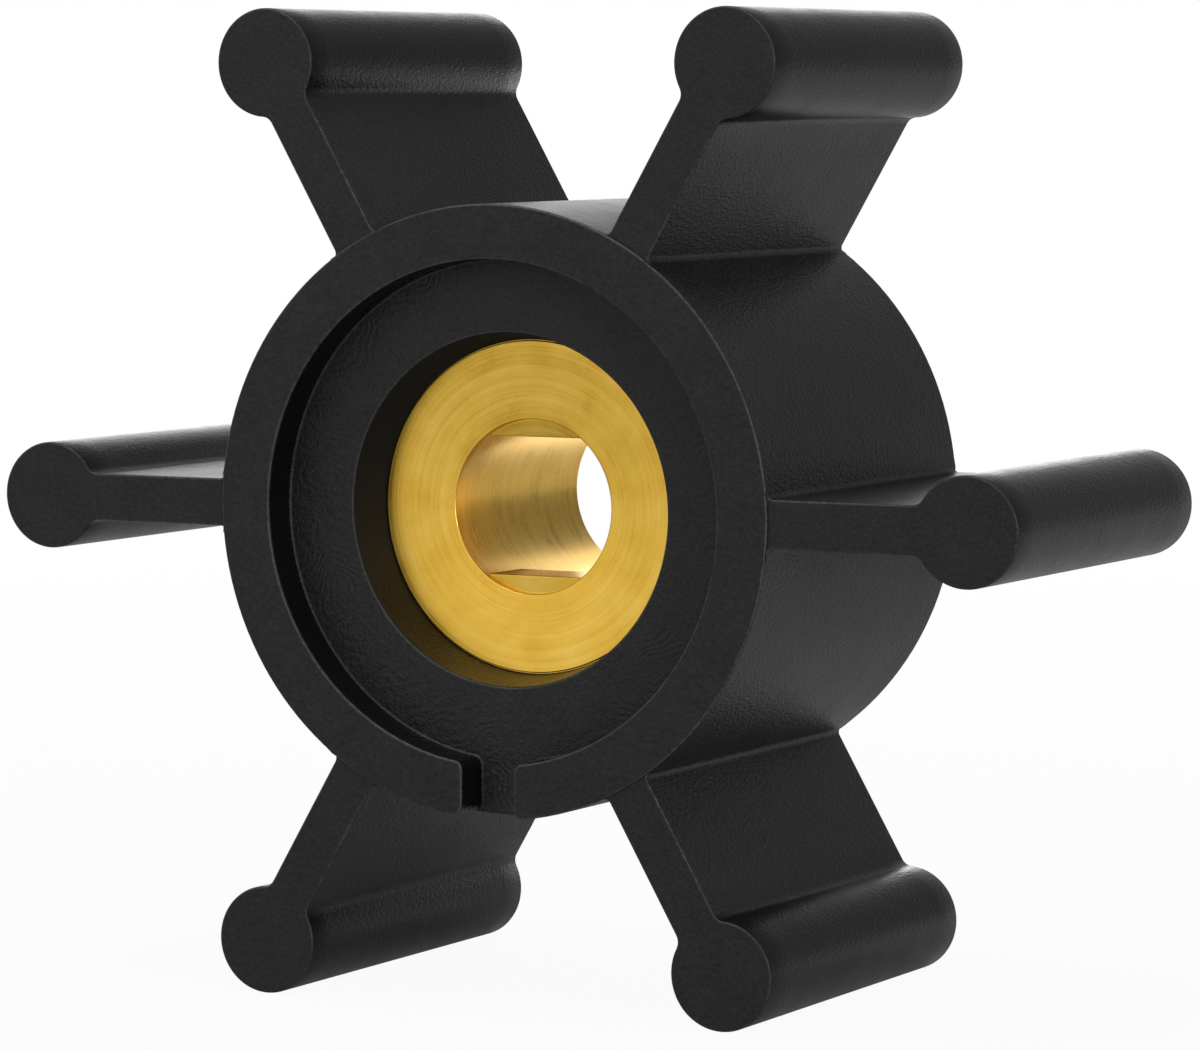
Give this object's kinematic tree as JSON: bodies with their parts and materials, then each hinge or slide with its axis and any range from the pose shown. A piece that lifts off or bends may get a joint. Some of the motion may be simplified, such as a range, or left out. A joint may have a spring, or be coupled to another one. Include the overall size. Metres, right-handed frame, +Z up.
{
  "type": "pump impeller",
  "caption": "Flexible rubber pump impeller with bulb-ended radial vanes on a recessed, notched hub, moulded round a brass insert with a flatted shaft bore.",
  "frame": {"origin": "centre of the bore, midway between the wheel's two end faces", "axes": "+Y along the bore, from the notched front face to the back; +Z up, away from the notch; two vanes lie along X"},
  "size_m": [0.052, 0.021, 0.0458],
  "materials": {
    "rubber": "moulded, satin, fine leathery grain",
    "brass": "turned, satin"
  },
  "bodies": {
    "root": {"rubber_impeller": "rubber", "brass_insert": "brass"}
  },
  "joints": []
}
